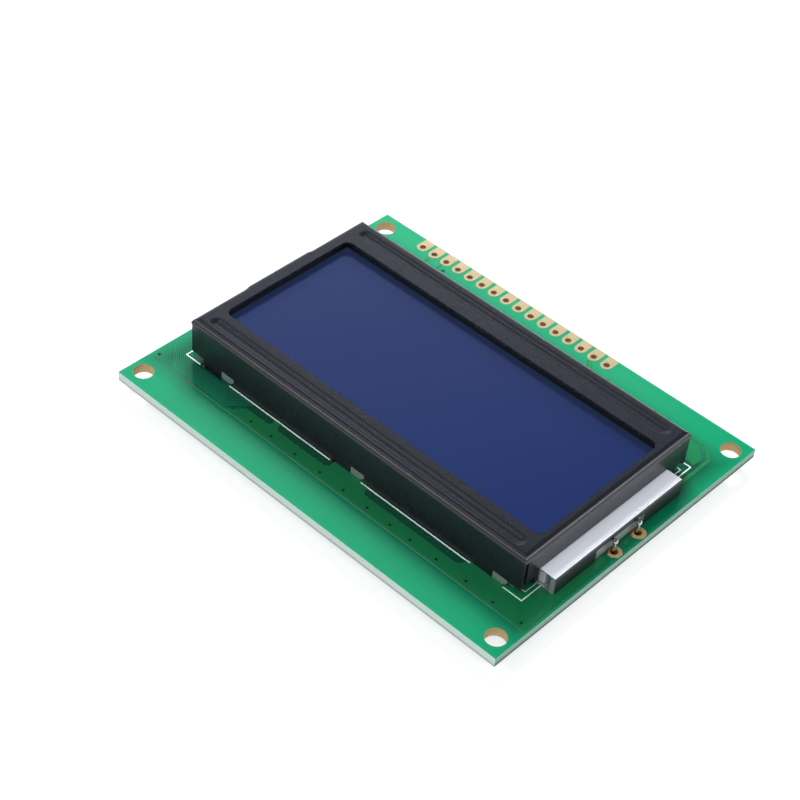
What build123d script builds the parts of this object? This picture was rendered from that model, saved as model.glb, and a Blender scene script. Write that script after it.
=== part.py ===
"""Character LCD module: a display cell and an edge-lit backlight, held on a circuit board by a folded bezel.

Sizes are in millimetres. X runs along the board towards the LED end, Y towards the header edge and Z up
through the display. The origin is the centre of the four mounting holes, on the underside of the board,
where the module is screwed down.
"""

import math
import os

from build123d import *

# Circuit board
BOARD_LENGTH = 74.3
BOARD_WIDTH = 57.0
BOARD_THICKNESS = 1.6
MOUNT_INSET_X = 2.4
MOUNT_INSET_Y = 2.8
MOUNT_HOLE_DIAMETER = 3.2

# Header row along the back edge: finger pads with plated holes
HEADER_COUNT = 16
HEADER_PITCH = 2.54
HEADER_FIRST_INSET = 9.8
HEADER_EDGE_INSET = 1.95
HEADER_HOLE_DIAMETER = 1.0
HEADER_PAD_WIDTH = 1.92
PAD_SIDES = 8
COPPER_THICKNESS = 0.05
PLATING_THICKNESS = 0.04
PLATING_CLEARANCE = 0.03

# Folded steel bezel, placed by its margins to the edges of the board
BEZEL_END_MARGIN = 4.6
BEZEL_FRONT_MARGIN = 10.2
BEZEL_BACK_MARGIN = 11.05
BEZEL_HEIGHT = 7.5
SHEET_THICKNESS = 0.5
BEND_RADIUS = 1.0
CORNER_SLIT = 0.2
CORNER_LIFT = 1.3
CORNER_LIFT_LENGTH = 2.7
PROUD_LENGTH = 12.2
PROUD_STEP = 0.2
PROUD_CENTRE_Y = -0.7
PROUD_RAMP = 0.8

# Window and stiffening grooves, measured from the outside of the bezel's walls
WINDOW_LEFT_MARGIN = 2.35
WINDOW_RIGHT_MARGIN = 1.65
WINDOW_FRONT_MARGIN = 4.58
WINDOW_BACK_MARGIN = 5.67
WINDOW_CORNER_RADIUS = 1.2
GROOVE_END_INSET = 2.05
GROOVE_FRONT_INSET = 2.1
GROOVE_BACK_INSET = 2.65
GROOVE_WIDTH = 2.3
GROOVE_DEPTH = 0.35
GROOVE_FLOOR = 0.3

# Twisted tabs that hold the bezel through slots in the board
TAB_COUNT = 3
TAB_FIRST_INSET = 4.7
TAB_LAST_INSET = 7.0
TAB_WIDTH = 3.5
TAB_REACH = 1.25
TAB_TWIST = 38.0
TAB_NECK = 0.15
SLOT_END_CLEARANCE = 0.3
SLOT_SIDE_CLEARANCE = 0.3
NOTCH_WIDTH = 2.75
NOTCH_HEIGHT = 1.4

# Display cell, from the window down
RECESS_DEPTH = 1.35
POLARIZER_THICKNESS = 0.2
GLASS_THICKNESS = 1.1
CRYSTAL_THICKNESS = 0.1
CELL_CLEARANCE = 0.15
CONTACT_LEDGE = 2.5
CRYSTAL_INSET = 0.4
POLARIZER_MARGIN = 0.6
GASKET_LIP = 0.25
GASKET_BEND_CLEARANCE = 0.1

# Elastomer connectors between the board and the contact ledges
ZEBRA_THICKNESS = 1.9
ZEBRA_WALL_GAP = 0.25
ZEBRA_END_INSET = 1.2

# Edge-lit backlight
REFLECTOR_THICKNESS = 0.1
DIFFUSER_THICKNESS = 0.25
GUIDE_SIDE_GAP = 0.3
GUIDE_FAR_INSET = 0.8
GUIDE_NEAR_INSET = 1.1
TONGUE_GAP = 0.1
TONGUE_ROOT = 3.0

# Mirror film channel round the LED strip, placed from the outside of the bezel's walls
COVER_FILM = 0.15
COVER_HEIGHT = 3.1
COVER_REACH = 2.7
COVER_TUCK = 0.7
COVER_FRONT_INSET = 3.6
COVER_BACK_INSET = 4.65
COVER_FOLD_RADIUS = 0.3
CUTOUT_FRONT_MARGIN = 2.32
CUTOUT_BACK_MARGIN = 0.14
CUTOUT_BACK_SLANT = 0.4
CUTOUT_HEIGHT = 2.3
WALL_OPENING_CLEARANCE = 0.2
SIDE_LEG_LIFT = 1.0
SIDE_CORNER_LIFT = 2.4
SIDE_CORNER_LENGTH = 2.05

# LED strip, its two leads and their pads
LED_COUNT = 6
LED_END_INSET = 1.3
LED_WIDTH = 2.0
LED_DEPTH = 0.8
LED_HEIGHT = 1.4
LED_GAP = 0.1
STRIP_THICKNESS = 0.9
STRIP_COVER_GAP = 0.15
STRIP_END_INSET = 0.5
LEAD_SPACING = 5.24
LEAD_CENTRE_Y = 0.09
LEAD_DIAMETER = 0.6
LEAD_HEIGHT = 2.3
LEAD_BELOW_BOARD = 1.0
LEAD_SIDE_GAP = 0.4
LEAD_OFF_CENTRE = 0.15
LED_PAD_DIAMETER = 2.4
LED_PAD_CLEARANCE = 0.1
LED_HOLE_DIAMETER = 1.15
BEAD_RADIUS = 0.45
BEAD_HEIGHT = 2.05
BEAD_NECK_WIDTH = 0.5
BEAD_NECK_HEIGHT = 0.5
SOLDER_HEIGHT = 0.7
SOLDER_TOP_RADIUS = 0.36
SOLDER_RADIUS = 0.85

# Parts under the board
GLOB_DIAMETER = 13.0
GLOB_HEIGHT = 1.7
GLOB_EDGE = 0.15
GLOB_STEPS = 4
CONTROLLER_Y = 8.0
DRIVER_X = 20.0
DRIVER_Y = -5.5
CHIP_LENGTH = 2.0
CHIP_WIDTH = 1.25
RESISTOR_HEIGHT = 0.5
CAPACITOR_HEIGHT = 0.85
TERMINAL_LENGTH = 0.4
GLOB_TO_CHIP = 1.4
RESISTOR_COUNT = 6
RESISTOR_PITCH = 2.6
CAPACITOR_COUNT = 3
CAPACITOR_PITCH = 4.0

# Levels of the stack
BOARD_TOP = BOARD_THICKNESS
BEZEL_TOP = BOARD_TOP + BEZEL_HEIGHT
SHEET_UNDERSIDE = BEZEL_TOP - SHEET_THICKNESS
CELL_TOP = BEZEL_TOP - RECESS_DEPTH
FRONT_GLASS_TOP = CELL_TOP - POLARIZER_THICKNESS
LEDGE_LEVEL = FRONT_GLASS_TOP - GLASS_THICKNESS
REAR_GLASS_TOP = LEDGE_LEVEL - CRYSTAL_THICKNESS
REAR_POLARIZER_TOP = REAR_GLASS_TOP - GLASS_THICKNESS
BACKLIGHT_TOP = REAR_POLARIZER_TOP - POLARIZER_THICKNESS
COVER_BOTTOM = BOARD_TOP
COVER_TOP = BOARD_TOP + COVER_HEIGHT

# Faces of the bezel and edges of its window
WALL_X = BOARD_LENGTH / 2 - BEZEL_END_MARGIN
WALL_FRONT_Y = -BOARD_WIDTH / 2 + BEZEL_FRONT_MARGIN
WALL_BACK_Y = BOARD_WIDTH / 2 - BEZEL_BACK_MARGIN
INNER_X = WALL_X - SHEET_THICKNESS
INNER_FRONT_Y = WALL_FRONT_Y + SHEET_THICKNESS
INNER_BACK_Y = WALL_BACK_Y - SHEET_THICKNESS
WINDOW_X = (-WALL_X + WINDOW_LEFT_MARGIN, WALL_X - WINDOW_RIGHT_MARGIN)
WINDOW_Y = (WALL_FRONT_Y + WINDOW_FRONT_MARGIN, WALL_BACK_Y - WINDOW_BACK_MARGIN)

# Header row, light channel and leads
HEADER_Y = BOARD_WIDTH / 2 - HEADER_EDGE_INSET
HEADER_FIRST_X = -BOARD_LENGTH / 2 + HEADER_FIRST_INSET
HEADER_HOLE_IN_BOARD = HEADER_HOLE_DIAMETER + 2 * (PLATING_THICKNESS + PLATING_CLEARANCE)
COVER_X = (WALL_X - COVER_TUCK, WALL_X + COVER_REACH)
COVER_Y = (WALL_FRONT_Y + COVER_FRONT_INSET, WALL_BACK_Y - COVER_BACK_INSET)
STRIP_FACE_X = COVER_X[1] - COVER_FILM - STRIP_COVER_GAP
STRIP_X = (STRIP_FACE_X - STRIP_THICKNESS, STRIP_FACE_X)
STRIP_Y = (COVER_Y[0] + STRIP_END_INSET, COVER_Y[1] - STRIP_END_INSET)
STRIP_Z = (COVER_BOTTOM + COVER_FILM, COVER_TOP - COVER_FILM)
TONGUE_END_X = STRIP_X[0] - LED_DEPTH - LED_GAP
LEAD_X = STRIP_FACE_X + LEAD_SIDE_GAP + LEAD_DIAMETER / 2
LED_PAD_X = LEAD_X + LEAD_OFF_CENTRE
LED_HOLE_IN_BOARD = LED_HOLE_DIAMETER + 2 * (PLATING_THICKNESS + PLATING_CLEARANCE)


def block(x_low, x_high, y_low, y_high, z_low, z_high):
    """A rectangular solid between two corners."""
    middle = ((x_low + x_high) / 2, (y_low + y_high) / 2, (z_low + z_high) / 2)
    return Pos(*middle) * Box(x_high - x_low, y_high - y_low, z_high - z_low)


def upright(x, y, diameter, z_low, z_high):
    """A cylinder with its axis along Z."""
    return Pos(x, y, (z_low + z_high) / 2) * Cylinder(diameter / 2, z_high - z_low)


def header_x():
    """X of each header hole."""
    return [HEADER_FIRST_X + number * HEADER_PITCH for number in range(HEADER_COUNT)]


def tab_x():
    """X of the middle of each twisted tab."""
    first = -WALL_X + TAB_FIRST_INSET
    pitch = (WALL_X - TAB_LAST_INSET - first) / (TAB_COUNT - 1)
    return [first + number * pitch for number in range(TAB_COUNT)]


def lead_y():
    """Y of the two backlight leads."""
    return [LEAD_CENTRE_Y - LEAD_SPACING / 2, LEAD_CENTRE_Y + LEAD_SPACING / 2]


def mount_points():
    """The centres of the four mounting holes."""
    reach_x = BOARD_LENGTH / 2 - MOUNT_INSET_X
    reach_y = BOARD_WIDTH / 2 - MOUNT_INSET_Y
    return [(x, y) for x in (-reach_x, reach_x) for y in (-reach_y, reach_y)]


def make_board():
    """The bare board with every drilled hole and the six tab slots."""
    board = block(-BOARD_LENGTH / 2, BOARD_LENGTH / 2, -BOARD_WIDTH / 2, BOARD_WIDTH / 2, 0, BOARD_TOP)
    cuts = [upright(x, y, MOUNT_HOLE_DIAMETER, -1, BOARD_TOP + 1) for x, y in mount_points()]
    cuts += [upright(x, HEADER_Y, HEADER_HOLE_IN_BOARD, -1, BOARD_TOP + 1) for x in header_x()]
    cuts += [upright(LED_PAD_X, y, LED_HOLE_IN_BOARD, -1, BOARD_TOP + 1) for y in lead_y()]
    half_slot = TAB_WIDTH / 2 + SLOT_END_CLEARANCE
    for x in tab_x():
        for outer, inner in ((WALL_FRONT_Y, INNER_FRONT_Y), (WALL_BACK_Y, INNER_BACK_Y)):
            low = min(outer, inner) - SLOT_SIDE_CLEARANCE
            high = max(outer, inner) + SLOT_SIDE_CLEARANCE
            cuts.append(block(x - half_slot, x + half_slot, low, high, -1, BOARD_TOP + 1))
    return board - cuts


def plated_hole(x, y, hole_diameter):
    """The sleeve of copper in a hole, still filled, and the bore that opens it."""
    outer_diameter = hole_diameter + 2 * PLATING_THICKNESS
    sleeve = upright(x, y, outer_diameter, -COPPER_THICKNESS, BOARD_TOP + COPPER_THICKNESS)
    return sleeve, upright(x, y, hole_diameter, -1, BOARD_TOP + 1)


def flat_sided(diameter):
    """The outline of a pad with flat sides, one of them facing each edge of the board."""
    return Rot(0, 0, 180 / PAD_SIDES) * RegularPolygon(diameter / 2, PAD_SIDES)


def finger_pad(x):
    """One header pad: a round-ended finger on top, a plated hole and a flat-sided land underneath."""
    copper_top = BOARD_TOP + COPPER_THICKNESS
    half_width = HEADER_PAD_WIDTH / 2
    finger = block(x - half_width, x + half_width, HEADER_Y, BOARD_WIDTH / 2, BOARD_TOP, copper_top)
    nose = upright(x, HEADER_Y, HEADER_PAD_WIDTH, BOARD_TOP, copper_top)
    land = Pos(x, HEADER_Y, -COPPER_THICKNESS) * extrude(flat_sided(HEADER_PAD_WIDTH), COPPER_THICKNESS)
    sleeve, bore = plated_hole(x, HEADER_Y, HEADER_HOLE_DIAMETER)
    return finger + nose + land + sleeve - bore


def led_pad(y, outline):
    """One backlight pad on both sides of the board, with its plated hole."""
    upper = Pos(LED_PAD_X, y, BOARD_TOP) * extrude(outline, COPPER_THICKNESS)
    lower = Pos(LED_PAD_X, y, -COPPER_THICKNESS) * extrude(outline, COPPER_THICKNESS)
    sleeve, bore = plated_hole(LED_PAD_X, y, LED_HOLE_DIAMETER)
    return upper + lower + sleeve - bore


def make_led_pads():
    """The two backlight pads: the front one has flat sides and the back one is round."""
    front_y, back_y = lead_y()
    return [led_pad(front_y, flat_sided(LED_PAD_DIAMETER)), led_pad(back_y, Circle(LED_PAD_DIAMETER / 2))]


def folded_form(inset):
    """The outside of the bezel, or its inside when inset by the sheet, with its bends along the top edges."""
    radius = BEND_RADIUS - inset
    top = BEZEL_TOP - inset
    main = block(-WALL_X + inset, WALL_X - inset, WALL_FRONT_Y + inset, WALL_BACK_Y - inset, BOARD_TOP, top)
    main = fillet(main.faces().sort_by(Axis.Z)[-1].edges(), radius)
    return main + proud_form(inset, radius, top)


def proud_form(inset, radius, top):
    """The middle of the left wall, which stands out a little from the rest of it between two short ramps."""
    face_x = -WALL_X - PROUD_STEP + inset
    ramp_x = -WALL_X + inset
    low = PROUD_CENTRE_Y - PROUD_LENGTH / 2
    high = PROUD_CENTRE_Y + PROUD_LENGTH / 2
    corners = [(0, low - PROUD_RAMP), (ramp_x, low - PROUD_RAMP), (face_x, low)]
    corners += [(face_x, high), (ramp_x, high + PROUD_RAMP), (0, high + PROUD_RAMP)]
    form = Pos(0, 0, BOARD_TOP) * extrude(make_face(Polyline(*corners, close=True)), top - BOARD_TOP)
    outer_edges = form.faces().sort_by(Axis.Z)[-1].edges().sort_by(Axis.X)[:3]
    return fillet(outer_edges, radius)


def groove_solid(y):
    """A stiffening groove as a solid: an S-shaped section along X, turned round at both ends."""
    half_width = GROOVE_WIDTH / 2
    half_floor = GROOVE_FLOOR / 2
    run = half_width - half_floor
    turn = 2 * math.atan2(GROOVE_DEPTH, run)
    bend = run / math.sin(turn) / 2
    level = BEZEL_TOP
    middle_x = half_width - bend * math.sin(turn)
    middle_z = level - bend * (1 - math.cos(turn))
    outer_mid = (half_width - bend * math.sin(turn / 2), level - bend * (1 - math.cos(turn / 2)))
    floor = level - GROOVE_DEPTH
    inner_mid = (half_floor + bend * math.sin(turn / 2), floor + bend * (1 - math.cos(turn / 2)))
    shoulder = ThreePointArc((half_width, level), outer_mid, (middle_x, middle_z))
    flank = ThreePointArc((middle_x, middle_z), inner_mid, (half_floor, floor))
    bottom = Line((half_floor, floor), (0, floor))
    axis_side = Line((0, floor), (0, level))
    lid = Line((0, level), (half_width, level))
    half = make_face(Curve() + [shoulder, flank, bottom, axis_side, lid])
    end_x = WALL_X - GROOVE_END_INSET - half_width
    section = Plane.XZ * half
    tip = revolve(section, Axis.Z, 360)
    across = Rot(0, 0, 90) * section
    side = Pos(-end_x, y, 0) * extrude(across, 2 * end_x, dir=(1, 0, 0))
    other = mirror(side, Plane.XZ.offset(-y))
    return Pos(-end_x, y, 0) * tip + Pos(end_x, y, 0) * tip + side + other


def ridge_solid(y):
    """The ridge that a groove leaves on the underside of the sheet, with sloping flanks."""
    half_width = GROOVE_WIDTH / 2
    reach = WALL_X - GROOVE_END_INSET
    inside_sheet = SHEET_UNDERSIDE + SHEET_THICKNESS / 2
    bar = block(-reach, reach, y - half_width, y + half_width, SHEET_UNDERSIDE - GROOVE_DEPTH, inside_sheet)
    return chamfer(bar.faces().sort_by(Axis.Z)[0].edges(), GROOVE_DEPTH)


def groove_places():
    """Y of the front and the back groove."""
    return [WALL_FRONT_Y + GROOVE_FRONT_INSET, WALL_BACK_Y - GROOVE_BACK_INSET]


def corner_slits():
    """The gaps that part each long wall from the end walls, below the bends."""
    cuts = []
    top = BEZEL_TOP - BEND_RADIUS
    for side in (-1, 1):
        for outer, inner, inward in ((WALL_FRONT_Y, INNER_FRONT_Y, 1), (WALL_BACK_Y, INNER_BACK_Y, -1)):
            gap = inner + inward * CORNER_SLIT
            x_values = sorted((side * (WALL_X - CORNER_SLIT), side * (WALL_X + 1)))
            y_values = sorted((outer - inward, gap))
            cuts.append(block(*x_values, *y_values, BOARD_TOP - 1, top))
            x_values = sorted((side * (INNER_X - CORNER_SLIT), side * (WALL_X + 1)))
            y_values = sorted((inner, gap))
            cuts.append(block(*x_values, *y_values, BOARD_TOP - 1, top))
    return cuts


def long_wall_cuts():
    """The raised ends of the two long walls and the notch beside each tab."""
    cuts = []
    lift = BOARD_TOP + CORNER_LIFT
    for outer, inward in ((WALL_FRONT_Y, 1), (WALL_BACK_Y, -1)):
        y_values = sorted((outer - inward, outer + inward * (SHEET_THICKNESS + CORNER_SLIT / 2)))
        cuts.append(block(-WALL_X - 1, -WALL_X + CORNER_LIFT_LENGTH, *y_values, BOARD_TOP - 1, lift))
        last_notch = tab_x()[-1] + TAB_WIDTH / 2 + NOTCH_WIDTH
        cuts.append(block(last_notch, WALL_X + 1, *y_values, BOARD_TOP - 1, lift))
        for x in tab_x():
            start = x + TAB_WIDTH / 2
            cuts.append(block(start, start + NOTCH_WIDTH, *y_values, BOARD_TOP - 1, BOARD_TOP + NOTCH_HEIGHT))
    return cuts


def end_wall_cuts():
    """The opening for the backlight in the right wall and the lifted foot of both end walls."""
    cuts = []
    low_y = COVER_Y[0] - WALL_OPENING_CLEARANCE
    high_y = COVER_Y[1] + WALL_OPENING_CLEARANCE
    opening_top = COVER_TOP + WALL_OPENING_CLEARANCE
    cuts.append(block(INNER_X - CORNER_SLIT, WALL_X + 1, low_y, high_y, BOARD_TOP - 1, opening_top))
    for side in (-1, 1):
        x_values = sorted((side * (INNER_X - CORNER_SLIT), side * (WALL_X + 1)))
        foot = BOARD_TOP + SIDE_LEG_LIFT
        cuts.append(block(*x_values, INNER_FRONT_Y, INNER_BACK_Y, BOARD_TOP - 1, foot))
        for end, inward in ((INNER_FRONT_Y, 1), (INNER_BACK_Y, -1)):
            y_values = sorted((end, end + inward * SIDE_CORNER_LENGTH))
            cuts.append(block(*x_values, *y_values, BOARD_TOP - 1, BOARD_TOP + SIDE_CORNER_LIFT))
    return cuts


def twisted_tab(x, wall_y):
    """One tab: straight through its slot, then twisted under the board so that it can't pull out."""
    blade = Rectangle(TAB_WIDTH, SHEET_THICKNESS)
    half_width = TAB_WIDTH / 2
    half_sheet = SHEET_THICKNESS / 2
    neck = block(x - half_width, x + half_width, wall_y - half_sheet, wall_y + half_sheet,
                 -TAB_NECK, BOARD_TOP + NOTCH_HEIGHT)
    straight_end = Pos(x, wall_y, -TAB_NECK) * blade
    twisted_end = Pos(x, wall_y, -TAB_REACH) * Rot(0, 0, TAB_TWIST) * blade
    return neck + loft([straight_end, twisted_end], ruled=True)


def window_opening(spread, corner_radius, z_low, z_high):
    """The window as a solid, wider all round by a spread."""
    length = WINDOW_X[1] - WINDOW_X[0] + 2 * spread
    width = WINDOW_Y[1] - WINDOW_Y[0] + 2 * spread
    outline = RectangleRounded(length, width, corner_radius) if corner_radius else Rectangle(length, width)
    return Pos(sum(WINDOW_X) / 2, sum(WINDOW_Y) / 2, z_low) * extrude(outline, z_high - z_low)


def make_bezel():
    """One folded and pressed sheet: top with window and grooves, four walls and six twisted tabs."""
    inside = folded_form(SHEET_THICKNESS)
    shell = folded_form(0) - inside
    shell = shell - window_opening(0, WINDOW_CORNER_RADIUS, SHEET_UNDERSIDE - 1, BEZEL_TOP + 1)
    for y in groove_places():
        shell = shell + ridge_solid(y)
    for y in groove_places():
        shell = shell - groove_solid(y)
    shell = shell - corner_slits() - long_wall_cuts() - end_wall_cuts()
    middle = SHEET_THICKNESS / 2
    for x in tab_x():
        shell = shell + twisted_tab(x, WALL_FRONT_Y + middle)
        shell = shell + twisted_tab(x, WALL_BACK_Y - middle)
    return shell


def cell_x():
    """The two ends of the display glass."""
    return -INNER_X + CELL_CLEARANCE, INNER_X - CELL_CLEARANCE


def cell_y():
    """The front and back edges of the front glass."""
    return INNER_FRONT_Y + CELL_CLEARANCE, INNER_BACK_Y - CELL_CLEARANCE


def make_gasket():
    """The black frame between the bezel and the glass, set a little back from the window."""
    bend = BEND_RADIUS - SHEET_THICKNESS + GASKET_BEND_CLEARANCE
    front_groove, back_groove = groove_places()
    beside_groove = GROOVE_WIDTH / 2 + CELL_CLEARANCE
    frame = block(-INNER_X + bend, INNER_X - bend, front_groove + beside_groove, back_groove - beside_groove,
                  FRONT_GLASS_TOP, SHEET_UNDERSIDE)
    return frame - window_opening(GASKET_LIP, 0, FRONT_GLASS_TOP - 1, SHEET_UNDERSIDE + 1)


def make_front_polarizer():
    """The film on the front glass, inside the gasket."""
    return window_opening(GASKET_LIP - CELL_CLEARANCE / 2, 0, FRONT_GLASS_TOP, CELL_TOP)


def make_front_glass():
    """The front plate, with its contact ledges past the rear plate at both long edges."""
    return block(*cell_x(), *cell_y(), LEDGE_LEVEL, FRONT_GLASS_TOP)


def rear_plate(inset, z_low, z_high):
    """A layer of the cell behind the front plate, inset from the rear plate's edge."""
    low_x, high_x = cell_x()
    low_y, high_y = cell_y()
    low_y = low_y + CONTACT_LEDGE
    high_y = high_y - CONTACT_LEDGE
    return block(low_x + inset, high_x - inset, low_y + inset, high_y - inset, z_low, z_high)


def make_zebra(edge_y, inward):
    """An elastomer connector that stands on the board and carries the contact ledge."""
    low_x, high_x = cell_x()
    near = edge_y + inward * ZEBRA_WALL_GAP
    far = near + inward * ZEBRA_THICKNESS
    y_low, y_high = sorted((near, far))
    return block(low_x + ZEBRA_END_INSET, high_x - ZEBRA_END_INSET, y_low, y_high, BOARD_TOP, LEDGE_LEVEL)


def guide_y():
    """The front and back edges of the light guide, between the two connectors."""
    inset = ZEBRA_WALL_GAP + ZEBRA_THICKNESS + GUIDE_SIDE_GAP
    return INNER_FRONT_Y + inset, INNER_BACK_Y - inset


def guide_x():
    """The far end of the light guide and the shoulder at its lit end."""
    return -INNER_X + GUIDE_FAR_INSET, INNER_X - GUIDE_NEAR_INSET


def make_reflector():
    """The white film under the light guide."""
    return block(*guide_x(), *guide_y(), BOARD_TOP, BOARD_TOP + REFLECTOR_THICKNESS)


def make_light_guide():
    """The clear plate, with a thinner tongue that reaches into the mirror film channel."""
    body = block(*guide_x(), *guide_y(), BOARD_TOP + REFLECTOR_THICKNESS, BACKLIGHT_TOP - DIFFUSER_THICKNESS)
    low_z = COVER_BOTTOM + COVER_FILM + TONGUE_GAP
    high_z = COVER_TOP - COVER_FILM - TONGUE_GAP
    root_x = guide_x()[1] - TONGUE_ROOT
    return body + block(root_x, TONGUE_END_X, *STRIP_Y, low_z, high_z)


def make_diffuser():
    """The matt film on top of the light guide."""
    return block(*guide_x(), *guide_y(), BACKLIGHT_TOP - DIFFUSER_THICKNESS, BACKLIGHT_TOP)


def make_led_cover():
    """Mirror film folded round the LED edge into a channel, open at both ends and cut away at the leads."""
    outer = block(*COVER_X, *COVER_Y, COVER_BOTTOM, COVER_TOP)
    outer = fillet(outer.faces().sort_by(Axis.X)[-1].edges().filter_by(Axis.Y), COVER_FOLD_RADIUS)
    inner = block(COVER_X[0] - 1, COVER_X[1] - COVER_FILM, COVER_Y[0] - 1, COVER_Y[1] + 1,
                  COVER_BOTTOM + COVER_FILM, COVER_TOP - COVER_FILM)
    folds = inner.faces().sort_by(Axis.X)[-1].edges().filter_by(Axis.Y)
    inner = fillet(folds, COVER_FOLD_RADIUS - COVER_FILM)
    return outer - inner - lead_cutout()


def lead_cutout():
    """The gap in the channel's side and foot that the leads and their pads lie in."""
    front_lead, back_lead = lead_y()
    front_y = front_lead - LED_PAD_DIAMETER / 2 - CUTOUT_FRONT_MARGIN
    foot_y = back_lead + LED_PAD_DIAMETER / 2 + CUTOUT_BACK_MARGIN
    low_z = COVER_BOTTOM - 1
    foot_z = COVER_BOTTOM + COVER_FILM
    high_z = COVER_BOTTOM + CUTOUT_HEIGHT
    corners = [(front_y, low_z), (front_y, high_z), (foot_y + CUTOUT_BACK_SLANT, high_z)]
    corners += [(foot_y, foot_z), (foot_y, low_z)]
    outline = make_face(Polyline(*corners, close=True))
    low_x = LED_PAD_X - LED_PAD_DIAMETER / 2 - LED_PAD_CLEARANCE
    return Pos(low_x, 0, 0) * extrude(Plane.YZ * outline, COVER_X[1] + 1 - low_x)


def make_led_strip():
    """The narrow board that carries the LEDs, standing on edge in the channel."""
    return block(*STRIP_X, *STRIP_Y, *STRIP_Z)


def make_led_chips():
    """The LEDs, in a row that faces the end of the light guide."""
    first = STRIP_Y[0] + LED_END_INSET + LED_WIDTH / 2
    pitch = (STRIP_Y[1] - LED_END_INSET - LED_WIDTH / 2 - first) / (LED_COUNT - 1)
    middle_z = sum(STRIP_Z) / 2
    chips = []
    for number in range(LED_COUNT):
        y = first + number * pitch
        chips.append(block(STRIP_X[0] - LED_DEPTH, STRIP_X[0], y - LED_WIDTH / 2, y + LED_WIDTH / 2,
                           middle_z - LED_HEIGHT / 2, middle_z + LED_HEIGHT / 2))
    return chips


def make_leads():
    """The two backlight leads, upright beside the LED strip and down through their pads."""
    return [upright(LEAD_X, y, LEAD_DIAMETER, -LEAD_BELOW_BOARD, BOARD_TOP + LEAD_HEIGHT) for y in lead_y()]


def solder_bead(y):
    """The round bead that joins the top of a lead to the face of the LED strip."""
    middle_z = BOARD_TOP + BEAD_HEIGHT
    bead = Pos(LEAD_X, y, middle_z) * Sphere(BEAD_RADIUS)
    neck_top = middle_z + BEAD_RADIUS / 2 - COVER_FILM
    neck = block(STRIP_FACE_X, LEAD_X, y - BEAD_NECK_WIDTH / 2, y + BEAD_NECK_WIDTH / 2,
                 neck_top - BEAD_NECK_HEIGHT, neck_top)
    return bead + neck - upright(LEAD_X, y, LEAD_DIAMETER, 0, BOARD_TOP + LEAD_HEIGHT)


def solder_fillet(y):
    """The cone of solder between the foot of a lead and its pad under the board."""
    cone = Cone(SOLDER_TOP_RADIUS, SOLDER_RADIUS, SOLDER_HEIGHT)
    middle_z = -COPPER_THICKNESS - SOLDER_HEIGHT / 2
    return Pos(LEAD_X, y, middle_z) * cone - upright(LEAD_X, y, LEAD_DIAMETER, -LEAD_BELOW_BOARD, 0)


def make_lead_solder():
    """The four solder joints of the two leads."""
    return [solder_bead(y) for y in lead_y()] + [solder_fillet(y) for y in lead_y()]


def glob(x, y):
    """A drop of black resin over a bonded die: a low dome, turned in a few steps, with a thin edge."""
    radius = GLOB_DIAMETER / 2
    crown = GLOB_HEIGHT - GLOB_EDGE
    ball = (radius ** 2 + crown ** 2) / (2 * crown)
    step_angle = math.asin(radius / ball) / GLOB_STEPS
    corners = [(0, 0), (radius, 0)]
    for step in range(GLOB_STEPS, 1, -1):
        angle = step_angle * step
        corners.append((ball * math.sin(angle), ball * (1 - math.cos(angle)) - GLOB_HEIGHT))
    corners += [(ball * math.sin(step_angle), -GLOB_HEIGHT), (0, -GLOB_HEIGHT)]
    return Pos(x, y, 0) * revolve(Plane.XZ * make_face(Polyline(*corners, close=True)), Axis.Z)


def chip_body(x, y, height):
    """The ceramic middle of a small part that lies along X under the board."""
    half = CHIP_LENGTH / 2 - TERMINAL_LENGTH
    return block(x - half, x + half, y - CHIP_WIDTH / 2, y + CHIP_WIDTH / 2, -height, 0)


def chip_terminals(x, y, height):
    """The two tinned ends of such a part."""
    ends = []
    for side in (-1, 1):
        x_values = sorted((x + side * (CHIP_LENGTH / 2 - TERMINAL_LENGTH), x + side * CHIP_LENGTH / 2))
        ends.append(block(*x_values, y - CHIP_WIDTH / 2, y + CHIP_WIDTH / 2, -height, 0))
    return ends


def chip_column(x, count, pitch):
    """The centres of a column of small parts that starts beside a driver's resin drop."""
    first = DRIVER_Y + GLOB_DIAMETER / 2 + GLOB_TO_CHIP + CHIP_WIDTH / 2
    return [(x, first + number * pitch) for number in range(count)]


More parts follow.
